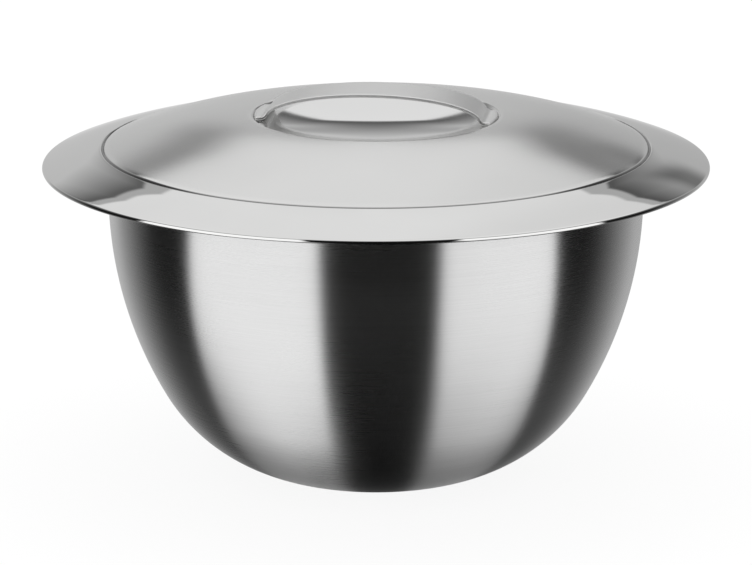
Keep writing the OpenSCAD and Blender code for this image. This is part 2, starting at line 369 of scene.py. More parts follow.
def from_axis(tree, x, y):
    """Distance from the Z axis."""
    return maths(tree, "SQRT", plus(tree, times(tree, x, x), times(tree, y, y)))


def noise(tree, place, scale, detail, roughness=0.5):
    """A Noise Texture node over a place."""
    node = tree.nodes.new("ShaderNodeTexNoise")
    link(tree, place, node.inputs["Vector"])
    link(tree, scale, node.inputs["Scale"])
    node.inputs["Detail"].default_value = detail
    node.inputs["Roughness"].default_value = roughness
    return node


def ring_lines_group():
    """Fine lines that run round the Z axis, spaced by the angle seen from a point on it."""
    if "ring_lines" in bpy.data.node_groups:
        return bpy.data.node_groups["ring_lines"]
    tree = bpy.data.node_groups.new("ring_lines", "ShaderNodeTree")
    socket(tree, "Density", "INPUT", 900.0)
    socket(tree, "Drift", "INPUT", 3.0)
    socket(tree, "Centre Height", "INPUT", 0.12)
    socket(tree, "Lines", "OUTPUT")
    given, out = tree.nodes.new("NodeGroupInput").outputs, tree.nodes.new("NodeGroupOutput")
    x, y, z = object_place(tree)
    not_zero = 1e-5
    radius = maths(tree, "MAXIMUM", from_axis(tree, x, y), not_zero)
    polar = maths(tree, "ARCTAN2", radius, minus(tree, given["Centre Height"], z))
    place = tree.nodes.new("ShaderNodeCombineXYZ")
    for side, flat in enumerate((x, y)):
        link(tree, times(tree, maths(tree, "DIVIDE", flat, radius), given["Drift"]), place.inputs[side])
    link(tree, times(tree, polar, given["Density"]), place.inputs[2])
    lines = noise(tree, place.outputs[0], scale=1.0, detail=4.0, roughness=0.65)
    link(tree, lines.outputs["Fac"], out.inputs["Lines"])
    return tree


def handling_group():
    """Soft clouds left by handling and wiping, as a value from 0 to 1."""
    if "handling_clouds" in bpy.data.node_groups:
        return bpy.data.node_groups["handling_clouds"]
    tree = bpy.data.node_groups.new("handling_clouds", "ShaderNodeTree")
    socket(tree, "Scale", "INPUT", 18.0)
    socket(tree, "Clouds", "OUTPUT")
    given, out = tree.nodes.new("NodeGroupInput").outputs, tree.nodes.new("NodeGroupOutput")
    place = tree.nodes.new("ShaderNodeTexCoord").outputs["Object"]
    clouds = noise(tree, place, scale=given["Scale"], detail=3.0)
    clouds.inputs["Distortion"].default_value = 0.4
    link(tree, rise(tree, clouds.outputs["Fac"], 0.3, 0.7), out.inputs["Clouds"])
    return tree


def new_material(name):
    """A node material with a Principled BSDF, giving the material, its tree and the shader."""
    material = bpy.data.materials.new(name)
    material.use_nodes = True
    tree = material.node_tree
    return material, tree, tree.nodes["Principled BSDF"]


def use_group(tree, group, **values):
    """Places a node group in a tree with its own values."""
    node = tree.nodes.new("ShaderNodeGroup")
    node.node_tree = group
    for name, value in values.items():
        node.inputs[name.replace("_", " ")].default_value = value
    return node.outputs[0]


def tint(tree, value, base, low, high):
    """A colour that goes from base times low to base times high with a value."""
    ramp = tree.nodes.new("ShaderNodeValToRGB")
    for stop, factor in zip(ramp.color_ramp.elements, (low, high)):
        stop.color = tuple(min(1.0, c * factor) for c in base) + (1.0,)
    link(tree, value, ramp.inputs["Fac"])
    return ramp.outputs["Color"]


def bump(tree, shader, height, strength, distance):
    """A Bump node that feeds the shader's normal."""
    node = tree.nodes.new("ShaderNodeBump")
    node.inputs["Strength"].default_value = strength
    node.inputs["Distance"].default_value = distance
    link(tree, height, node.inputs["Height"])
    link(tree, node.outputs["Normal"], shader.inputs["Normal"])


def stretch_across_rings(tree, shader):
    """Turns the shader's stretched reflections across lines that run round the axis."""
    tangent = tree.nodes.new("ShaderNodeTangent")
    tangent.direction_type = "RADIAL"
    tangent.axis = "Z"
    link(tree, tangent.outputs[0], shader.inputs["Tangent"])
    quarter_turn = 0.25
    shader.inputs["Anisotropic Rotation"].default_value = quarter_turn


def brushed_steel(name, base, rough, density, centre, grain, stretch):
    """Steel brushed in lines that run round the axis, which stretch reflections across them."""
    material, tree, shader = new_material(name)
    lines = use_group(tree, ring_lines_group(), Density=density, Drift=2.5, Centre_Height=centre)
    clouds = use_group(tree, handling_group(), Scale=14.0)
    shader.inputs["Metallic"].default_value = 1.0
    shader.inputs["Anisotropic"].default_value = stretch
    stretch_across_rings(tree, shader)
    link(tree, tint(tree, rise(tree, lines, 0.25, 0.75), base, 1 - grain, 1 + grain), shader.inputs["Base Color"])
    by_lines, by_clouds = 0.06, 0.02
    wander = weighed(tree, lines, by_lines, clouds, by_clouds)
    link(tree, plus(tree, wander, rough - (by_lines + by_clouds) / 2), shader.inputs["Roughness"])
    bump(tree, shader, lines, strength=0.04, distance=0.1 * MM)
    return material


def polished_steel(name, base, rough, soft):
    """Polished sheet with faint turning lines and clouds, softer on the ledge and the dome, with painted shade in the
    groove and a little over the dome.
    """
    lid = bpy.context.scene.bowl_lid
    well, groove = lid.well_radius, lid.groove_radius
    dish = well - lid.ledge
    material, tree, shader = new_material(name)
    lines = use_group(tree, ring_lines_group(), Density=1400.0, Drift=4.0, Centre_Height=1.16)
    clouds = use_group(tree, handling_group(), Scale=16.0)
    x, y, _ = object_place(tree)
    radius = from_axis(tree, x, y)
    dome = times(tree, rise(tree, radius, well, well + 3 * MM), fall(tree, radius, groove - 4 * MM, groove))
    ledge = times(tree, rise(tree, radius, dish - 4 * MM, dish - 1 * MM),
                  fall(tree, radius, well - 2.5 * MM, well - 1 * MM))
    off_groove = maths(tree, "ABSOLUTE", minus(tree, radius, groove))
    groove_painted_shade, dome_painted_shade = 0.72, 0.035
    # Painted shade: the base colour darkens in the pressed groove, where shade falls; the same mask also roughens the
    # groove.
    line = spread(tree, off_groove, 0.4 * MM, 0.9 * MM, groove_painted_shade, 0.0)

    shader.inputs["Metallic"].default_value = 1.0
    full_stretch = 0.5
    link(tree, spread(tree, radius, 1 * MM, 8 * MM, 0.0, full_stretch), shader.inputs["Anisotropic"])
    stretch_across_rings(tree, shader)

    tone = tree.nodes.new("ShaderNodeVectorMath")
    tone.operation = "SCALE"
    link(tree, tint(tree, clouds, base, 0.985, 1.015), tone.inputs[0])
    # Painted shade: the base colour is darkened in the groove and slightly over the dome, standing in for how they
    # catch the light.
    dark = plus(tree, line, times(tree, dome, dome_painted_shade))
    link(tree, minus(tree, 1.0, dark), tone.inputs["Scale"])
    link(tree, tone.outputs[0], shader.inputs["Base Color"])

    ledge_soft, groove_soft, by_lines, by_clouds, middle = 0.17, 0.15, 0.015, 0.015, 0.02
    gloss = plus(tree, times(tree, ledge, ledge_soft), times(tree, line, groove_soft), times(tree, dome, soft - rough),
                 weighed(tree, lines, by_lines, clouds, by_clouds), rough - middle)
    link(tree, gloss, shader.inputs["Roughness"])
    bump(tree, shader, lines, strength=0.008, distance=0.05 * MM)
    return material


def strap_steel(name, base, rough, edge):
    """Satin steel with fine lines along the strap and smoother cut edges at its feet."""
    handle = bpy.context.scene.bowl_handle
    foot = STRAP_LOW.z + handle.sheet
    material, tree, shader = new_material(name)
    clouds = use_group(tree, handling_group(), Scale=22.0)
    place = tree.nodes.new("ShaderNodeMapping")
    place.vector_type = "TEXTURE"
    place.inputs["Rotation"].default_value[2] = handle.turn
    place.inputs["Scale"].default_value = (50 * MM, 0.6 * MM, 0.6 * MM)
    coordinates = tree.nodes.new("ShaderNodeTexCoord")
    link(tree, coordinates.outputs["Object"], place.inputs["Vector"])
    lines = noise(tree, place.outputs[0], scale=1.0, detail=4.0).outputs["Fac"]
    shader.inputs["Metallic"].default_value = 1.0
    link(tree, tint(tree, lines, base, 0.99, 1.07), shader.inputs["Base Color"])

    facing = tree.nodes.new("ShaderNodeSeparateXYZ")
    link(tree, coordinates.outputs["Normal"], facing.inputs[0])
    height = object_place(tree)[2]
    top_polish, by_lines, by_clouds = 0.055, 0.08, 0.03
    side = spread(tree, height, foot, foot + 3 * MM, edge, rough)
    gloss = spread(tree, maths(tree, "ABSOLUTE", facing.outputs["Z"]), 0.25, 0.7, side, rough - top_polish)
    wander = weighed(tree, lines, by_lines, clouds, by_clouds)
    link(tree, plus(tree, wander, gloss), shader.inputs["Roughness"])
    bump(tree, shader, lines, strength=0.05, distance=0.05 * MM)
    return material


def grained(name, base, rough, metal, scale, depth, contrast):
    """A surface with a fine grain in colour, gloss and height."""
    material, tree, shader = new_material(name)
    place = tree.nodes.new("ShaderNodeTexCoord").outputs["Object"]
    grain = noise(tree, place, scale, detail=5.0).outputs["Fac"]
    clouds = use_group(tree, handling_group(), Scale=40.0)
    mixed = weighed(tree, grain, 0.7, clouds, 0.3)
    shader.inputs["Metallic"].default_value = metal
    link(tree, tint(tree, mixed, base, 1 - contrast, 1 + contrast), shader.inputs["Base Color"])
    wander = 0.12
    link(tree, plus(tree, times(tree, mixed, wander), rough - wander / 2), shader.inputs["Roughness"])
    bump(tree, shader, grain, strength=0.35, distance=depth)
    return material


# Every finish: what makes it, its colour in FinishColours, and its values.
FINISHES = {
    "satin_steel_round": (brushed_steel, "satin", dict(rough=0.28, density=620, centre=0.12, grain=0.05, stretch=1.0)),
    "liner_steel_round": (brushed_steel, "liner", dict(rough=0.34, density=520, centre=0.12, grain=0.04, stretch=0.85)),
    "plate_steel_turned": (brushed_steel, "liner", dict(rough=0.32, density=1500, centre=1.0, grain=0.04, stretch=0.8)),
    "base_steel_turned": (brushed_steel, "satin", dict(rough=0.36, density=1500, centre=1.0, grain=0.05, stretch=0.8)),
    "polished_steel_lid": (polished_steel, "polished", dict(rough=0.035, soft=0.21)),
    "polished_steel_strap": (strap_steel, "polished", dict(rough=0.36, edge=0.06)),
    "fastener_steel": (grained, "liner", dict(rough=0.32, metal=1.0, scale=900.0, depth=0.03 * MM, contrast=0.06)),
    "silicone_soft": (grained, "silicone", dict(rough=0.55, metal=0.0, scale=700.0, depth=0.05 * MM, contrast=0.18)),
    "felt_fibres": (grained, "felt", dict(rough=0.95, metal=0.0, scale=420.0, depth=0.6 * MM, contrast=0.3)),
    "foil_bright": (grained, "foil", dict(rough=0.2, metal=1.0, scale=130.0, depth=0.5 * MM, contrast=0.05)),
    "getter_sintered": (grained, "getter", dict(rough=0.8, metal=0.0, scale=1600.0, depth=0.2 * MM, contrast=0.35)),
    "plug_brazed": (grained, "plug", dict(rough=0.4, metal=1.0, scale=800.0, depth=0.06 * MM, contrast=0.12)),
}


def finish_of(name):
    """One finish by name, made when it is first used."""
    maker, tone, values = FINISHES[name]
    base = getattr(bpy.context.scene.bowl_finish, tone)
    return bpy.data.materials.get(name) or maker(name, base, **values)


def wall_curve(sizes, inset, floor, top):
    """The bowl's curve at a distance inside its outer face, from a floor's height to a top."""
    tilt = sizes.base_angle
    lower = (sizes.base_radius - sizes.lower_radius * math.sin(tilt), sizes.lower_radius * math.cos(tilt))
    turn_height = sizes.rim_height - sizes.upright
    run, climb = sizes.rim_radius - lower[0], turn_height - lower[1]
    upper_radius = (run ** 2 + climb ** 2 - sizes.lower_radius ** 2) / (2 * (run - sizes.lower_radius))
    upper = (sizes.rim_radius - upper_radius, turn_height)
    meet = math.degrees(math.atan2(lower[0] - upper[0], climb)) - 90
    first = math.degrees(math.acos((lower[1] - floor) / (sizes.lower_radius - inset))) - 90
    low_arc = arc(lower, sizes.lower_radius - inset, first, meet, CURVE_STEPS)
    high_arc = arc(upper, upper_radius - inset, meet, 0, CURVE_STEPS)
    upright = [(sizes.rim_radius - inset, turn_height + (top - turn_height) * (i + 1) / UPRIGHT_STEPS)
               for i in range(UPRIGHT_STEPS)]
    return low_arc + high_arc[1:] + upright


class BOWL_OT_outer_wall(bpy.types.Operator):
    """Builds the brushed outer wall with the recess in its base"""
    bl_idname = "bowl.outer_wall"
    bl_label = "Outer wall"

    def execute(self, context):
        sizes = context.scene.bowl_sizes
        top = sizes.rim_height - sizes.sheet
        ring = sizes.base_radius - sizes.foot_ring
        recess = ring - sizes.recess
        outside = [(sizes.plug_hole, sizes.recess), (recess, sizes.recess), (ring, 0.0)]
        inside = [(ring, sizes.sheet), (recess, sizes.recess + sizes.sheet),
                  (sizes.plug_hole, sizes.recess + sizes.sheet)]
        fold, heel = 0.5 * MM, 0.8 * MM
        outline = rounded(outside + wall_curve(sizes, 0.0, 0.0, top), {1: fold, 2: fold, 3: heel})
        outline += wall_curve(sizes, sizes.sheet, sizes.sheet, top)[::-1] + inside
        piece = spun("bowl_outer_wall", outline, sizes.steps)
        smooth(piece, 30)
        settle(piece, "bowl", "outer_shell", finish_of("satin_steel_round"))
        return {"FINISHED"}


class BOWL_OT_liner(bpy.types.Operator):
    """Builds the liner with its rounded mouth and the lip over the outer wall"""
    bl_idname = "bowl.liner"
    bl_label = "Liner"

    def execute(self, context):
        sizes = context.scene.bowl_sizes
        outer = sizes.sheet + sizes.gap
        inner = outer + sizes.sheet
        floor = LINER_LOW.z
        rim = sizes.rim_height
        lip_in = sizes.rim_radius + sizes.lip_clearance
        lip_out = lip_in + sizes.sheet
        inside = wall_curve(sizes, inner, floor + sizes.sheet, rim)[::-1]
        under = wall_curve(sizes, outer, floor, rim - sizes.sheet)
        mouth = [(lip_in, rim - sizes.sheet), (lip_in, rim - sizes.lip), (lip_out, rim - sizes.lip), (lip_out, rim)]
        corner = len(mouth) - 1
        lip_end, lip_top = 0.25 * MM, 0.7 * MM
        shaped = rounded(mouth + inside, {2: lip_end, corner: lip_top, corner + 1: sizes.mouth_round})
        outline = [(0.0, floor)] + under + shaped + [(0.0, floor + sizes.sheet)]
        piece = spun("bowl_liner", outline, sizes.steps)
        smooth(piece, 30)
        settle(piece, "bowl", "inner_liner", finish_of("liner_steel_round"))
        return {"FINISHED"}


class BOWL_OT_base_disc(bpy.types.Operator):
    """Builds the disc that closes the base's recess"""
    bl_idname = "bowl.base_disc"
    bl_label = "Base disc"

    def execute(self, context):
        radius, low, high = COVER_TOP.x, COVER_LOW.z, COVER_TOP.z
        ring = radius * 0.82
        middle, slope, soft, sharp = low + 0.12 * MM, 0.6 * MM, 0.3 * MM, 0.15 * MM
        outline = rounded([(0.0, middle), (ring - slope, middle), (ring, low), (radius, low), (radius, high),
                           (0.0, high)], {1: soft, 2: soft, 3: soft, 4: sharp})
        piece = spun("base_disc", outline, DISC_STEPS)
        smooth(piece, 30)
        settle(piece, "bowl", "base_cover", finish_of("base_steel_turned"))
        return {"FINISHED"}


def lid_lines(sizes):
    """The cover's face from the axis to the rolled edge, then the rolled edge, then the underside."""
    dish_steps, dome_steps, groove_steps, flange_steps, hem_steps = 28, 40, 16, 30, 26
    well, groove, edge = sizes.well_radius, sizes.groove_radius, sizes.edge_radius
    half = sizes.groove_width / 2
    top = sizes.dome_height
    groove_z = top - sizes.dome_rise
    ledge_z = top - sizes.step_depth
    dome = crown_centre((well, top), (groove, groove_z), sizes.dome_crown)
    flange = crown_centre((groove, groove_z), (edge, groove_z - sizes.flange_drop), sizes.flange_crown)

    def face_z(r):
        centre, crown = (dome, sizes.dome_crown) if r < groove else (flange, sizes.flange_crown)
        return centre[1] + math.sqrt(crown ** 2 - (r - centre[0]) ** 2)

    def face_run(start, end, steps):
        radii = [start + (end - start) * i / steps for i in range(steps + 1)]
        return [(r, face_z(r)) for r in radii]

    def dip(x):
        return sizes.groove_depth * (1 + math.cos(2 * math.pi * x / sizes.groove_width)) / 2

    dish = well - sizes.ledge
    bowl_r = (dish ** 2 + sizes.dish_depth ** 2) / (2 * sizes.dish_depth)
    low = ledge_z - sizes.dish_depth
    radii = [dish * i / dish_steps for i in range(dish_steps)]
    face = [(r, low + bowl_r - math.sqrt(bowl_r ** 2 - r ** 2)) for r in radii]
    first = len(face)
    face += [(dish, ledge_z), (well - sizes.step_run, ledge_z), (well, top)]
    past_rounding = 2 * MM
    face += face_run(well + past_rounding, groove - half, dome_steps)
    face = rounded(face, {first: sizes.dish_round, first + 1: sizes.ledge_round, first + 2: sizes.well_round})
    across = [half * (2 * i / groove_steps - 1) for i in range(1, groove_steps)]
    face += [(groove + x, face_z(groove + x) - dip(x)) for x in across]
    hem_x = edge - sizes.hem
    tilt = math.asin((hem_x - flange[0]) / sizes.flange_crown)
    meet = hem_x + sizes.hem * math.sin(tilt)
    face += face_run(groove + half, meet, flange_steps)
    centre = (hem_x, face_z(hem_x) - sizes.hem / math.cos(tilt))
    last = -180 - math.degrees(tilt) - math.degrees(math.asin(1 - sizes.sheet * math.cos(tilt) / sizes.hem))
    hem = arc(centre, sizes.hem, 90 - math.degrees(tilt), last, hem_steps)[1:]
    hem_clear = 0.05 * MM
    under = [(x, z - sizes.sheet) for x, z in face if x < hem[-1][0] - hem_clear]
    return face + hem + under[::-1]


class BOWL_OT_lid_cover(bpy.types.Operator):
    """Builds the lid's cover: dish, ledge, dome, groove, flange and rolled edge"""
    bl_idname = "bowl.lid_cover"
    bl_label = "Lid cover"

    def execute(self, context):
        sizes = context.scene.bowl_lid
        piece = spun("lid_cover_sheet", lid_lines(sizes), sizes.steps)
        smooth(piece, 40)
        settle(piece, "lid", "lid_cover", finish_of("polished_steel_lid"))
        return {"FINISHED"}


class BOWL_OT_lid_underside(bpy.types.Operator):
    """Builds the lid's inner plate and its ribbed gasket"""
    bl_idname = "bowl.lid_underside"
    bl_label = "Lid underside"

    def execute(self, context):
        sizes = context.scene.bowl_lid
        self.plate(sizes)
        self.gasket(sizes)
        return {"FINISHED"}

    def plate(self, sizes):
        sheet = sizes.plate
        low, brim = PLATE_LOW.z, GASKET_TOP.z
        plug = GASKET_TOP.x - sizes.gasket_width - sizes.gasket_gap
        rim, lip = PLATE_TOP.x, PLATE_TOP.z
        outline = [(0.0, low), (plug, low), (plug, brim), (rim, brim), (rim, lip), (rim - sheet, lip),
                   (rim - sheet, brim + sheet), (plug - sheet, brim + sheet), (plug - sheet, low + sheet),
                   (0.0, low + sheet)]
        corner, corner_inside, fold, lip_end = 1.6 * MM, 0.8 * MM, 0.6 * MM, 0.3 * MM
        outline = rounded(outline, {1: corner, 3: fold, 4: lip_end, 5: lip_end, 8: corner_inside})
        plate = spun("lid_plate", outline, PLATE_STEPS)
        smooth(plate, 35)
        settle(plate, "lid", "lid_inner_plate", finish_of("plate_steel_turned"))

    def gasket(self, sizes):
        base, top, outside = GASKET_LOW.z, GASKET_TOP.z, GASKET_TOP.x
        inside = outside - sizes.gasket_width
        pitch = sizes.gasket_width / sizes.beads
        across_rib = (0.15, 0.3, 0.5, 0.7, 0.85, 1.0)
        ribs = [(inside, top), (inside, base + sizes.bead)]
        for i in range(sizes.beads):
            ribs += [(inside + pitch * (i + t), base + sizes.bead * (1 - math.sin(math.pi * t))) for t in across_rib]
        ribs += [(outside, top)]
        gasket = spun("lid_gasket_ring", ribs, GASKET_STEPS)
        smooth(gasket, 40)
        settle(gasket, "lid", "lid_gasket", finish_of("silicone_soft"))


def strap_line(sizes, ground):
    """The strap's upper line from foot to foot, in the XZ plane of the handle before its turn."""
    top = ground + sizes.sheet
    lift = math.asin(sizes.fillet / sizes.rise)
    foot = sizes.half_span + sizes.fillet
    sweep_steps = 8

    def arch(a):
        return sizes.half_span * math.cos(a), top + sizes.rise * math.sin(a)

    def sweep(side):
        p, q, e = Vector(arch(lift)), Vector((sizes.half_span, top)), Vector((foot, top))
        places = [i / sweep_steps for i in range(sweep_steps + 1)]
        curve = [(1 - t) ** 2 * e + 2 * t * (1 - t) * q + t ** 2 * p for t in places]
        return [(side * v.x, v.y) for v in curve]

    over = [arch(math.pi - lift - (math.pi - 2 * lift) * i / sizes.steps) for i in range(1, sizes.steps)]
    ends = [(-sizes.foot_radius, top)], [(sizes.foot_radius, top)]
    return ends[0] + sweep(-1) + over + sweep(1)[::-1] + ends[1]


class BOWL_OT_handle(bpy.types.Operator):
    """Builds the arched strap with feet that follow the well"""
    bl_idname = "bowl.handle"
    bl_label = "Handle"

    def execute(self, context):
        sizes = context.scene.bowl_handle
        half = sizes.width / 2
        at_end, at_slice = 0.01 * MM, 0.1 * MM
        line = [(x, -half, z) for x, z in strap_line(sizes, STRAP_LOW.z)]
        piece = start_outline("handle_arch", line[0])
        draw_line(line)
        bpy.ops.mesh.select_all(action="SELECT")
        for _ in range(sizes.slices):
            bpy.ops.mesh.extrude_edges_move(TRANSFORM_OT_translate={"value": (0, sizes.width / sizes.slices, 0)})
        for i in range(sizes.slices + 1):
            y = -half + sizes.width * i / sizes.slices
            pull = sizes.foot_radius - math.sqrt(sizes.foot_radius ** 2 - y ** 2)
            for side in (-1, 1):
                bpy.ops.mesh.select_all(action="DESELECT")
                bpy.ops.object.mode_set(mode="OBJECT")
                for v in piece.data.vertices:
                    v.select = (abs(v.co.x - side * sizes.foot_radius) < at_end
                                and abs(v.co.y - y) < at_slice)
                bpy.ops.object.mode_set(mode="EDIT")
                bpy.ops.transform.translate(value=(-side * pull, 0, 0))
        bpy.ops.mesh.select_all(action="SELECT")
        bpy.ops.mesh.normals_make_consistent(inside=False)
        bpy.ops.object.mode_set(mode="OBJECT")
        if piece.data.polygons[len(piece.data.polygons) // 2].normal.z < 0:
            bpy.ops.object.mode_set(mode="EDIT")
            bpy.ops.mesh.flip_normals()
            bpy.ops.object.mode_set(mode="OBJECT")
        wall = piece.modifiers.new("thickness", "SOLIDIFY")
        wall.thickness = sizes.sheet
        wall.offset = -1.0
        wall.use_even_offset = True
        bpy.ops.object.modifier_apply(modifier=wall.name)
        edge = piece.modifiers.new("edges", "BEVEL")
        edge.width = sizes.edge_round
        edge.segments = 3
        edge.limit_method = "ANGLE"
        edge.angle_limit = math.radians(50)
        bpy.ops.object.modifier_apply(modifier=edge.name)
        piece.rotation_euler.z = sizes.turn
        bpy.ops.object.transform_apply(location=True, rotation=True, scale=True)
        smooth(piece, 40)
        settle(piece, "lid", "handle_strap", finish_of("polished_steel_strap"))
        return {"FINISHED"}


class BOWL_OT_hidden_parts(bpy.types.Operator):
    """Gives the parts inside the walls and the lid their finishes"""
    bl_idname = "bowl.hidden_parts"
    bl_label = "Hidden parts"

    def execute(self, context):
        finishes = {
            "radiation_foil": "foil_bright",
            "getter_clip": "fastener_steel",
            "getter_pellet": "getter_sintered",
            "vacuum_plug": "plug_brazed",
            "lid_insulation": "felt_fibres",
            "handle_studs": "fastener_steel",
            "handle_washers": "fastener_steel",
            "handle_nuts": "fastener_steel",
        }
        for node, finish in finishes.items():
            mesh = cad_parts[node].data
            mesh.materials.clear()
            mesh.materials.append(finish_of(finish))
        return {"FINISHED"}


# The reflected studio, painted by direction in degrees: azimuth is 0 towards the viewer, aside is 0 straight
# behind the object. Four numbers are two places and the values there, two numbers are the ends of a soft edge.
BOX_SOFT = 1.8
BOX_TOP = (20.0, 27.0)
LEFT_INNER = (-60.0, -30.0, 34.0, 24.3)
LEFT_OUTER = (-34.0, -12.0, 97.0, 84.4)
RIGHT_INNER = (-66.0, -32.0, 48.0, 28.2)
RIGHT_OUTER = (-44.0, -12.0, 98.0, 81.0)
RIGHT_FADE = (-62.0, -40.0, 0.45, 1.0)
WALL_SHARE = 0.95
WALL_START = 20.0
WALL_END = (-60.0, 60.0, 73.0, 79.0)
WALL_FOOT = (-50.0, -15.0, 0.05, 1.0)
TABLE_GLOW = (-49.0, -24.0, 0.1, 0.0)
TABLE_START, TABLE_END = (35.0, 50.0), (92.0, 110.0)
FRONT_RISE = (6.0, 30.0)
UNDER_BOWL = (-82.0, -57.0, 0.05, 1.0)
CEILING_EDGE = (32.0, 42.0)
BACK_END, BACK_FOOT = (26.0, 40.0), (-24.0, -10.0)

# The back wall's upper edge, or seam, lies at SEAM_LOW straight behind and rises to the sides in steps: from
# one place aside to another by so much. The grey below it and the lip and screen above it are measured from it.
SEAM_LOW = 13.4
SEAM_RISES = ((0.28, 1.18, 5.7), (1.18, 7.0, 1.2), (7.0, 11.5, 7.0), (11.5, 17.5, 3.6))
SEAM_SOFT = (-0.3, 0.5)
SEAM_DARK, SEAM_DARK_ASIDE, DARK_CHANGE = 0.13, 0.25, (0.6, 0.9)
MIDDLE_START, MIDDLE_END = (0.0, 0.2), (4.0, 9.0)
GREY_START, GREY_START_MIDDLE, GREY_END = (3.0, 9.0, -8.8, -11.0), -3.9, -0.7
GREY_RIGHT = (0.0, 10.0, 1.0, 0.83)
FLAG_SIDE, FLAG_FOOT, FLAG_TOP = (9.0, 15.0, 0.0, 0.6), (13.0, 19.0), (20.0, 24.5)
FLOOR_GLOW, FLOOR_GLOW_END = (-10.0, 3.0, 0.16, 0.0), (4.0, 16.0)
SCREEN_RISE, SCREEN_FOOT_SHARE = (1.0, 30.0), 0.93
SCREEN_RIGHT = (2.0, 20.0, 1.0, 0.92)
LIP_TONE = 0.48
LIP_GROWS, LIP_SHRINKS = (4.5, 8.0, 0.0, 3.6), (8.0, 15.0, 0.0, -1.8)


def studio_direction(tree):
    """Azimuth from the viewer's side and elevation of a point of the studio, in degrees, as two sockets."""
    x, y, z = object_place(tree)
    to_degrees = 180 / math.pi
    azimuth = times(tree, maths(tree, "ARCTAN2", x, times(tree, y, -1)), to_degrees)
    return azimuth, times(tree, maths(tree, "ARCTAN2", z, from_axis(tree, x, y)), to_degrees)


def softbox(tree, place, inner, outer):
    """A lit panel between two soft edges, all in degrees of azimuth."""
    near, far = minus(tree, place, inner), minus(tree, place, outer)
    return times(tree, rise(tree, near, -BOX_SOFT, BOX_SOFT), fall(tree, far, -BOX_SOFT, BOX_SOFT))


def back_seam(tree, stage, azimuth, aside, elevation):
    """The grey back wall behind the lid, darkest at its seam, and over it a pale lip and the bright screen."""
    right = times(tree, aside, maths(tree, "GREATER_THAN", azimuth, 0.0))
    rises = [spread(tree, aside, start, end, 0.0, height, "LINEAR") for start, end, height in SEAM_RISES]
    above = minus(tree, elevation, plus(tree, *rises, SEAM_LOW))

    middle = fall(tree, aside, *MIDDLE_END)
    off_centre = times(tree, rise(tree, aside, *MIDDLE_START), middle)
    start = blend(tree, spread(tree, aside, *GREY_START), GREY_START_MIDDLE, off_centre)
    dark = blend(tree, SEAM_DARK, SEAM_DARK_ASIDE, times(tree, rise(tree, aside, *DARK_CHANGE), middle))
    grey = spread(tree, above, start, GREY_END, stage.back_wall, dark, "LINEAR")
    flag = times(tree, spread(tree, right, *FLAG_SIDE), rise(tree, elevation, *FLAG_FOOT),
                 fall(tree, elevation, *FLAG_TOP))
    grey = times(tree, grey, spread(tree, right, *GREY_RIGHT), minus(tree, 1.0, flag))
    glow = times(tree, spread(tree, elevation, *FLOOR_GLOW), fall(tree, aside, *FLOOR_GLOW_END))
    wall = plus(tree, grey, glow)

    screen = times(tree, spread(tree, above, *SCREEN_RISE, stage.screen * SCREEN_FOOT_SHARE, stage.screen),
                   spread(tree, right, *SCREEN_RIGHT))
    lip = plus(tree, spread(tree, aside, *LIP_GROWS), spread(tree, aside, *LIP_SHRINKS))
    upper = blend(tree, LIP_TONE, screen, rise(tree, minus(tree, above, lip), *SEAM_SOFT))
    return blend(tree, wall, upper, rise(tree, above, *SEAM_SOFT))


def studio_paint(stage):
    """The studio that the steel reflects: softboxes, grey walls, the back seam, a screen above and a dark front."""
    material = bpy.data.materials.new("studio_paint")
    material.use_nodes = True
    tree = material.node_tree
    tree.nodes.clear()
    out = tree.nodes.new("ShaderNodeOutputMaterial")
    glow = tree.nodes.new("ShaderNodeEmission")
    link(tree, glow.outputs[0], out.inputs["Surface"])
    azimuth, elevation = studio_direction(tree)
    aside = minus(tree, 180.0, maths(tree, "ABSOLUTE", azimuth))

    box_top = fall(tree, elevation, *BOX_TOP)
    left = softbox(tree, times(tree, azimuth, -1.0), spread(tree, elevation, *LEFT_INNER),
                   spread(tree, elevation, *LEFT_OUTER))
    left = times(tree, left, box_top, stage.left_box)
    right = softbox(tree, azimuth, spread(tree, elevation, *RIGHT_INNER), spread(tree, elevation, *RIGHT_OUTER))
    right = times(tree, right, box_top, stage.right_box, spread(tree, elevation, *RIGHT_FADE))

    wall_end = spread(tree, azimuth, *WALL_END)
    wall = times(tree, spread(tree, aside, WALL_START, wall_end, stage.back_wall * WALL_SHARE, 0.0),
                 spread(tree, elevation, *WALL_FOOT))
    table = times(tree, spread(tree, elevation, *TABLE_GLOW), rise(tree, aside, *TABLE_START),
                  fall(tree, aside, *TABLE_END))
    front = spread(tree, elevation, *FRONT_RISE, stage.front, stage.front_top)
    lit = maths(tree, "MAXIMUM", plus(tree, left, right, wall, table, stage.front), front)
    lit = times(tree, lit, spread(tree, elevation, *UNDER_BOWL))
    walls = blend(tree, lit, stage.screen, rise(tree, elevation, *CEILING_EDGE))

    behind = times(tree, fall(tree, aside, *BACK_END), rise(tree, elevation, *BACK_FOOT))
    whole = blend(tree, walls, back_seam(tree, stage, azimuth, aside, elevation), behind)
    link(tree, whole, glow.inputs["Strength"])
    return material


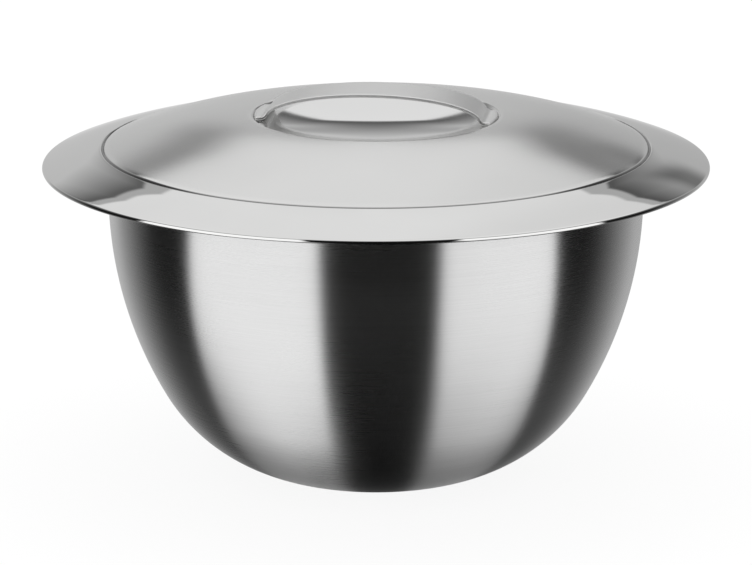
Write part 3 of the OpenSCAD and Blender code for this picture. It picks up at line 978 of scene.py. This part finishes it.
class BOWL_OT_stage(bpy.types.Operator):
    """Sets the floor, the light, the reflected studio and the camera"""
    bl_idname = "bowl.stage"
    bl_label = "Stage"

    def execute(self, context):
        stage = context.scene.bowl_stage
        self.camera(context, stage)
        self.world(context)
        self.floor(stage)
        self.lamp(stage)
        self.studio(stage)
        return {"FINISHED"}

    def camera(self, context, stage):
        deselect()
        down, away = math.sin(stage.pitch), math.cos(stage.pitch)
        place = (0.0, -stage.distance * away, stage.aim_height + stage.distance * down)
        bpy.ops.object.camera_add(location=place, rotation=(math.pi / 2 - stage.pitch, 0.0, 0.0))
        camera = context.object
        camera.name = camera.data.name = "picture_camera"
        camera.data.sensor_width = 36.0
        camera.data.lens = stage.lens
        camera.data.clip_end = 60.0
        context.scene.camera = camera

    def world(self, context):
        world = bpy.data.worlds.new("studio_white")
        context.scene.world = world
        world.use_nodes = True
        back = world.node_tree.nodes["Background"]
        back.inputs["Color"].default_value = (1.0, 1.0, 1.0, 1.0)
        back.inputs["Strength"].default_value = 1.0
        context.scene.view_settings.view_transform = "Standard"

    def floor(self, stage):
        deselect()
        bpy.ops.mesh.primitive_plane_add(size=12.0, location=(0, 0, 0))
        floor = bpy.context.object
        floor.name = floor.data.name = "studio_floor"
        material, tree, shader = new_material("floor_pale")
        shader.inputs["Base Color"].default_value = (0.9, 0.9, 0.9, 1.0)
        shader.inputs["Roughness"].default_value = 0.9
        shader.inputs["Specular IOR Level"].default_value = 0.0
        glow = tree.nodes.new("ShaderNodeEmission")
        mix = tree.nodes.new("ShaderNodeMixShader")
        seen = tree.nodes.new("ShaderNodeLightPath").outputs["Is Camera Ray"]
        link(tree, times(tree, seen, 1.0 - stage.floor_shadow), mix.inputs["Fac"])
        link(tree, shader.outputs[0], mix.inputs[1])
        link(tree, glow.outputs[0], mix.inputs[2])
        link(tree, mix.outputs[0], tree.nodes["Material Output"].inputs["Surface"])
        floor.data.materials.append(material)
        floor.visible_glossy = False

    def lamp(self, stage):
        deselect()
        bpy.ops.object.light_add(type="AREA", location=(0.0, 0.3, 2.2))
        lamp = bpy.context.object
        lamp.name = lamp.data.name = "overhead_softbox"
        lamp.data.shape = "RECTANGLE"
        lamp.data.size, lamp.data.size_y = 2.6, 2.0
        lamp.data.energy = stage.lamp_power
        lamp.visible_glossy = False

    def studio(self, stage):
        deselect()
        bpy.ops.mesh.primitive_uv_sphere_add(segments=64, ring_count=32, radius=stage.studio_radius, location=(0, 0, 0))
        room = bpy.context.object
        room.name = room.data.name = "studio_room"
        room.data.materials.append(studio_paint(stage))
        room.visible_camera = False
        room.visible_diffuse = False
        room.visible_shadow = False
        room.visible_transmission = False


class BOWL_PT_panel(bpy.types.Panel):
    """Lists the bowl's pieces"""
    bl_label = "Insulated bowl"
    bl_idname = "BOWL_PT_panel"
    bl_space_type = "VIEW_3D"
    bl_region_type = "UI"
    bl_category = "Bowl"

    def draw(self, context):
        for operator in OPERATORS:
            self.layout.operator(operator.bl_idname)


GROUPS = {
    "bowl_sizes": BowlSizes,
    "bowl_lid": LidSizes,
    "bowl_handle": HandleSizes,
    "bowl_finish": FinishColours,
    "bowl_stage": StageSettings,
}
OPERATORS = (BOWL_OT_outer_wall, BOWL_OT_liner, BOWL_OT_base_disc, BOWL_OT_lid_cover, BOWL_OT_lid_underside,
             BOWL_OT_handle, BOWL_OT_hidden_parts, BOWL_OT_stage)


def register():
    """Registers the groups, the operators and the panel."""
    for name, group in GROUPS.items():
        bpy.utils.register_class(group)
        setattr(bpy.types.Scene, name, PointerProperty(type=group))
    for operator in OPERATORS:
        bpy.utils.register_class(operator)
    bpy.utils.register_class(BOWL_PT_panel)


def unregister():
    """Takes them out again."""
    bpy.utils.unregister_class(BOWL_PT_panel)
    for operator in reversed(OPERATORS):
        bpy.utils.unregister_class(operator)
    for name, group in reversed(GROUPS.items()):
        delattr(bpy.types.Scene, name)
        bpy.utils.unregister_class(group)


def main():
    """Builds every piece in order."""
    register()
    bpy.ops.bowl.outer_wall()
    bpy.ops.bowl.liner()
    bpy.ops.bowl.base_disc()
    bpy.ops.bowl.lid_cover()
    bpy.ops.bowl.lid_underside()
    bpy.ops.bowl.handle()
    bpy.ops.bowl.hidden_parts()
    bpy.ops.bowl.stage()


if __name__ == "__main__":
    main()
